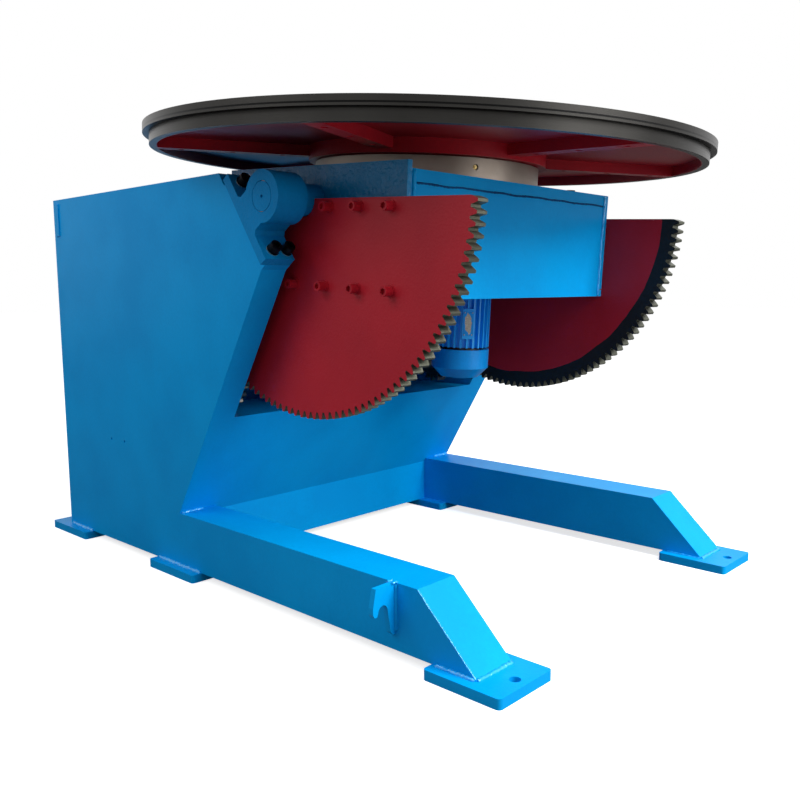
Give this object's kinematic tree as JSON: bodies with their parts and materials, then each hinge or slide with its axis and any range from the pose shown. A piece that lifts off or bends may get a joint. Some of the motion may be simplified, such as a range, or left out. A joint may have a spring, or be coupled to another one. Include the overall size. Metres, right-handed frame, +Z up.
{
  "type": "workpiece positioner",
  "caption": "Heavy floor-standing welding positioner: a round ribbed turntable on a box head that tilts between two columns, driven by toothed sectors and a slewing ring",
  "frame": {"origin": "on the floor, at the middle of the rectangle of anchor bolts", "axes": "+Z up; +Y from the operator's side, where the legs reach out, to the back; +X to the operator's right, along the tilt axis"},
  "size_m": [1.5998, 2.0089, 1.2934],
  "materials": {
    "blue_enamel": "semi-gloss enamel over welded plate",
    "red_enamel": "semi-gloss enamel over welded plate",
    "drive_paint": "semi-gloss enamel over castings",
    "machined_steel": "turned and milled, lightly oiled",
    "oiled_steel": "turned plate, dark with oil",
    "cast_housing": "machined casting",
    "black_oxide": "black oxide",
    "bronze": "machined bronze"
  },
  "bodies": {
    "base": {"right_side_plate": "blue_enamel", "left_side_plate": "blue_enamel", "right_column_channel": "blue_enamel", "left_column_channel": "blue_enamel", "right_seat_block": "blue_enamel", "left_seat_block": "blue_enamel", "right_leg_channel": "blue_enamel", "left_leg_channel": "blue_enamel", "leg_noses": "blue_enamel", "right_cable_hook": "blue_enamel", "left_cable_hook": "blue_enamel", "front_feet": "blue_enamel", "mid_feet": "blue_enamel", "rear_feet": "blue_enamel", "front_panel": "blue_enamel", "ledge_plate": "blue_enamel", "top_cover": "blue_enamel", "rear_panel": "blue_enamel", "rear_top_rail": "blue_enamel", "rear_bottom_rail": "blue_enamel", "bearing_spacers": "blue_enamel", "right_pillow_block": "blue_enamel", "left_pillow_block": "blue_enamel", "trunnion_bushes": "bronze", "pillow_bolts": "black_oxide", "shaft_bearings": "cast_housing", "tilt_gearbox": "drive_paint", "tilt_motor": "drive_paint"},
    "tilt_shaft": {"tilt_cross_shaft": "machined_steel", "right_tilt_pinion": "machined_steel", "left_tilt_pinion": "machined_steel"},
    "head": {"right_box_side": "blue_enamel", "left_box_side": "blue_enamel", "box_front_plate": "blue_enamel", "box_rear_plate": "blue_enamel", "box_top_plate": "blue_enamel", "box_bottom_plate": "blue_enamel", "right_trunnion": "blue_enamel", "left_trunnion": "blue_enamel", "trunnion_doublers": "blue_enamel", "right_sector_gear": "red_enamel", "left_sector_gear": "red_enamel", "sector_bolts": "red_enamel", "slewing_outer_ring": "machined_steel", "slewing_rollers": "machined_steel", "grease_nipple": "bronze", "slewing_bolts": "black_oxide", "rotation_reducer": "drive_paint", "rotation_motor": "drive_paint", "rotation_motor_cowl": "drive_paint"},
    "rotation_pinion": {"rotation_pinion": "machined_steel"},
    "table": {"slewing_inner_ring": "machined_steel", "table_hub": "red_enamel", "table_plate": "oiled_steel", "table_rim": "oiled_steel", "table_ribs": "red_enamel", "table_bolts": "black_oxide"}
  },
  "joints": [
    {"name": "head_tilt", "type": "hinge", "parent": "base", "child": "head", "pos_m": [0, -0.242, 1.054], "axis": [1, 0, 0], "range_deg": [-3.4, 116.6]},
    {"name": "tilt_shaft_spin", "type": "hinge", "parent": "base", "child": "tilt_shaft", "pos_m": [0, 0.13971, 0.56543], "axis": [1, 0, 0], "range_deg": [-950, 30]},
    {"name": "table_rotation", "type": "hinge", "parent": "head", "child": "table", "pos_m": [0, -0.22597, 1.15513], "axis": [0, -0.0593, 0.9982], "continuous": true},
    {"name": "rotation_pinion_spin", "type": "hinge", "parent": "head", "child": "rotation_pinion", "pos_m": [0.18255, -0.23871, 1.15437], "axis": [0, -0.0593, 0.9982], "continuous": true}
  ],
  "couplings": [
    {"joint": "tilt_shaft_spin", "follows": "head_tilt", "ratio": -8.1176},
    {"joint": "rotation_pinion_spin", "follows": "table_rotation", "ratio": 4.5882}
  ]
}
